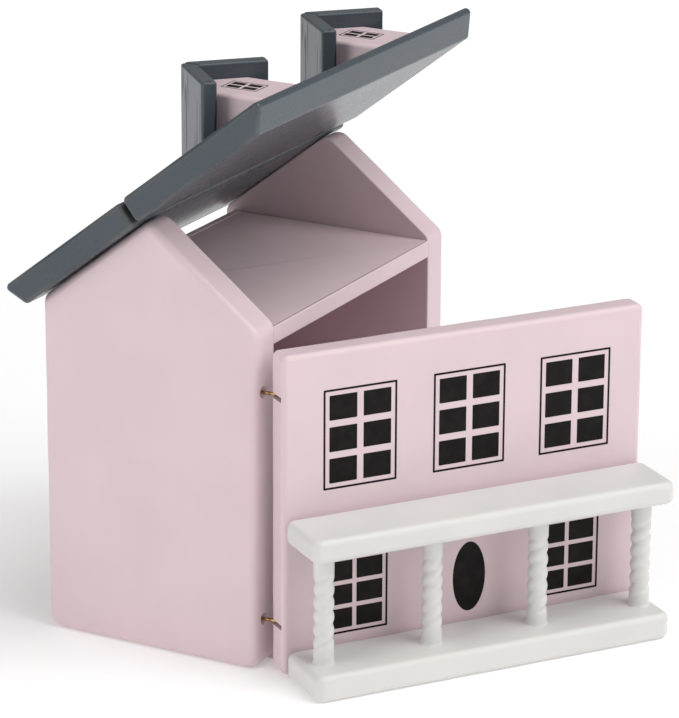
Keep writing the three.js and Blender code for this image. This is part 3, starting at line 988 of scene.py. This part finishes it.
class DOLLHOUSE_OT_printing(bpy.types.Operator):
    """Prints the windows and the oval door on the front wall and the dormers."""

    bl_idname = "dollhouse.printing"
    bl_label = "Printed windows"

    # Each row of windows, in millimetres: left edges from the hinge edge, foot, width, height,
    # margin inside the line, and gap between panes.
    rows = {
        "upper": ((14.3, 53.7, 92.8), 62.7, 26.2, 34.0, 2.1, 2.3),
        "lower": ((13.6, 92.2), 12.1, 24.0, 27.2, 1.9, 1.5),
    }
    door_centre = (67.6, 24.2)
    door_half = (6.0, 12.2)
    dormer_margin = 1.2 * MM
    dormer_gap = 1.1 * MM
    dormer_line = 0.35 * MM

    def execute(self, context):
        front = context.scene.dollhouse_front
        place = front_wall_place()
        low = box_in("front_wall", place)[0]
        for row, (lefts, foot, wide, tall, margin, gap) in self.rows.items():
            for i, left in enumerate(lefts):
                corner = (low.x + left * MM, foot * MM)
                opposite = (corner[0] + wide * MM, corner[1] + tall * MM)
                mesh = window_print(
                    front, corner, opposite, 2, 3, margin * MM, gap * MM, low.y, front.ink_line,
                )
                self.printed(context, mesh, f"{row}_window_print_{i + 1}", place, "front_wall")
        self.printed(context, self.door(front, low), "oval_door_print", place, "front_wall")
        self.dormer_windows(context, front)
        return {"FINISHED"}

    def printed(self, context, mesh, name, place, body):
        finished(context, mesh, name, place, body, None, "ink")

    def door(self, front, low):
        mesh = bmesh.new()
        centre = Vector((low.x + self.door_centre[0] * MM, self.door_centre[1] * MM))
        half = Vector(self.door_half) * MM
        outline = [
            centre + Vector((half.x * math.cos(angle), half.y * math.sin(angle))) for angle in full_turn(96)
        ]
        ink_sheet(mesh, outline, low.y, front.ink_depth)
        return mesh

    def dormer_windows(self, context, front):
        dormer = context.scene.dollhouse_dormer
        corner = (-dormer.window_half, -dormer.window_foot)
        opposite = (dormer.window_half, -dormer.window_top)
        for side in SIDES:
            mesh = window_print(
                front, corner, opposite, 2, 2, self.dormer_margin, self.dormer_gap, -dormer.body_reach,
                self.dormer_line,
            )
            place = dormer_place(context, side)
            self.printed(context, mesh, f"{side}_dormer_window_print", place, "front_roof")


# ---- Stage ------------------------------------------------------------------------------------------


class DOLLHOUSE_OT_stage(bpy.types.Operator):
    """Lays the pale floor, and sets the studio lights and the camera."""

    bl_idname = "dollhouse.stage"
    bl_label = "Stage"

    def execute(self, context):
        self.floor(context)
        self.lights(context)
        self.camera(context)
        return {"FINISHED"}

    def floor(self, context):
        reach = 6.0
        mesh = bmesh.new()
        corners = rectangle((-reach, -reach), (reach, reach))
        mesh.faces.new([mesh.verts.new((x, y, 0)) for x, y in corners])
        floor = to_object(mesh, "studio_floor", SHARED_FRAME)
        floor.data.materials.append(self.pale_floor())

    def pale_floor(self):
        """A matt floor that glows softly, less so near the house."""
        white = (1, 1, 1)
        finish = Finish("pale_floor")
        place = finish.place()
        cloud = finish.noise(place, 3, detail=2)
        tone = finish.mix(cloud, rgba(white, 0.9), rgba(white, 0.93))
        distance = finish.node("ShaderNodeVectorMath", {"operation": "LENGTH"}, {0: place}, output="Value")
        glow = finish.mix(distance.between(0.15, 0.8), rgba(white, 0.5), rgba(white))
        return finish.surface({
            "Base Color": tone, "Roughness": 0.8, "Emission Color": glow, "Emission Strength": 0.4,
        })

    def lights(self, context):
        world = bpy.data.worlds.new("studio")
        world.use_nodes = True
        background = world.node_tree.nodes["Background"]
        background.inputs["Color"].default_value = (1, 1, 1, 1)
        background.inputs["Strength"].default_value = 0.27
        context.scene.world = world
        self.softbox("key", (-1.7, 1.0, 0.8), 1.5, 15)
        self.softbox("front", (0.2, -1.8, 1.1), 1.5, 15.5)
        self.softbox("overhead", (0.1, -0.9, 2.1), 1.8, 27)

    def softbox(self, name, spot, size, watts):
        """A square lamp aimed at the middle of the house."""
        middle = Vector((0, -0.04, 0.07))
        lamp = bpy.data.lights.new(name, "AREA")
        lamp.shape = "SQUARE"
        lamp.size = size
        lamp.energy = watts
        light = bpy.data.objects.new(name, lamp)
        light.location = spot
        light.rotation_euler = (middle - Vector(spot)).to_track_quat("-Z", "Y").to_euler()
        bpy.context.scene.collection.objects.link(light)

    def camera(self, context):
        data = bpy.data.cameras.new("studio_camera")
        data.sensor_fit = "HORIZONTAL"
        data.sensor_width = 36
        data.lens = 198.9
        data.shift_x = -0.03187
        data.shift_y = -0.01326
        data.clip_start = 0.05
        data.clip_end = 40
        camera = bpy.data.objects.new("studio_camera", data)
        spot = (-1.04468, -0.5971, 0.48805)
        yaw, pitch, roll = (math.radians(angle) for angle in (62.051, -18.525, 0.37))
        turn = Matrix.Rotation(-yaw, 4, "Z") @ Matrix.Rotation(RIGHT_ANGLE + pitch, 4, "X")
        turn = turn @ Matrix.Rotation(roll, 4, "Z")
        camera.matrix_world = Matrix.Translation(spot) @ turn
        context.scene.collection.objects.link(camera)
        context.scene.camera = camera
        context.scene.view_settings.view_transform = "Standard"


class DOLLHOUSE_PT_panel(bpy.types.Panel):
    """Lists the dollhouse's pieces, sizes and colours."""

    bl_idname = "DOLLHOUSE_PT_panel"
    bl_label = "Dollhouse"
    bl_space_type = "VIEW_3D"
    bl_region_type = "UI"
    bl_category = "Dollhouse"

    def draw(self, context):
        for operator in OPERATORS:
            self.layout.operator(operator.bl_idname)
        for name in GROUPS:
            group = getattr(context.scene, name)
            box = self.layout.box()
            for size in group.__annotations__:
                box.prop(group, size)


GROUPS = {
    "dollhouse_house": DollhouseHouse,
    "dollhouse_dormer": DollhouseDormer,
    "dollhouse_front": DollhouseFront,
    "dollhouse_finish": DollhouseFinish,
}
OPERATORS = [
    DOLLHOUSE_OT_stage,
    DOLLHOUSE_OT_side_walls,
    DOLLHOUSE_OT_floors,
    DOLLHOUSE_OT_back_panel,
    DOLLHOUSE_OT_roof_boards,
    DOLLHOUSE_OT_dormers,
    DOLLHOUSE_OT_front_wall,
    DOLLHOUSE_OT_porch,
    DOLLHOUSE_OT_columns,
    DOLLHOUSE_OT_screw_eyes,
    DOLLHOUSE_OT_dowels,
    DOLLHOUSE_OT_printing,
]


def register():
    for each in (*GROUPS.values(), *OPERATORS, DOLLHOUSE_PT_panel):
        bpy.utils.register_class(each)
    for name, group in GROUPS.items():
        setattr(bpy.types.Scene, name, PointerProperty(type=group))


def unregister():
    for name in GROUPS:
        delattr(bpy.types.Scene, name)
    for each in reversed((*GROUPS.values(), *OPERATORS, DOLLHOUSE_PT_panel)):
        bpy.utils.unregister_class(each)


def main():
    register()
    for operator in OPERATORS:
        name = operator.bl_idname.split(".")[1]
        getattr(bpy.ops.dollhouse, name)()


if __name__ == "__main__":
    main()
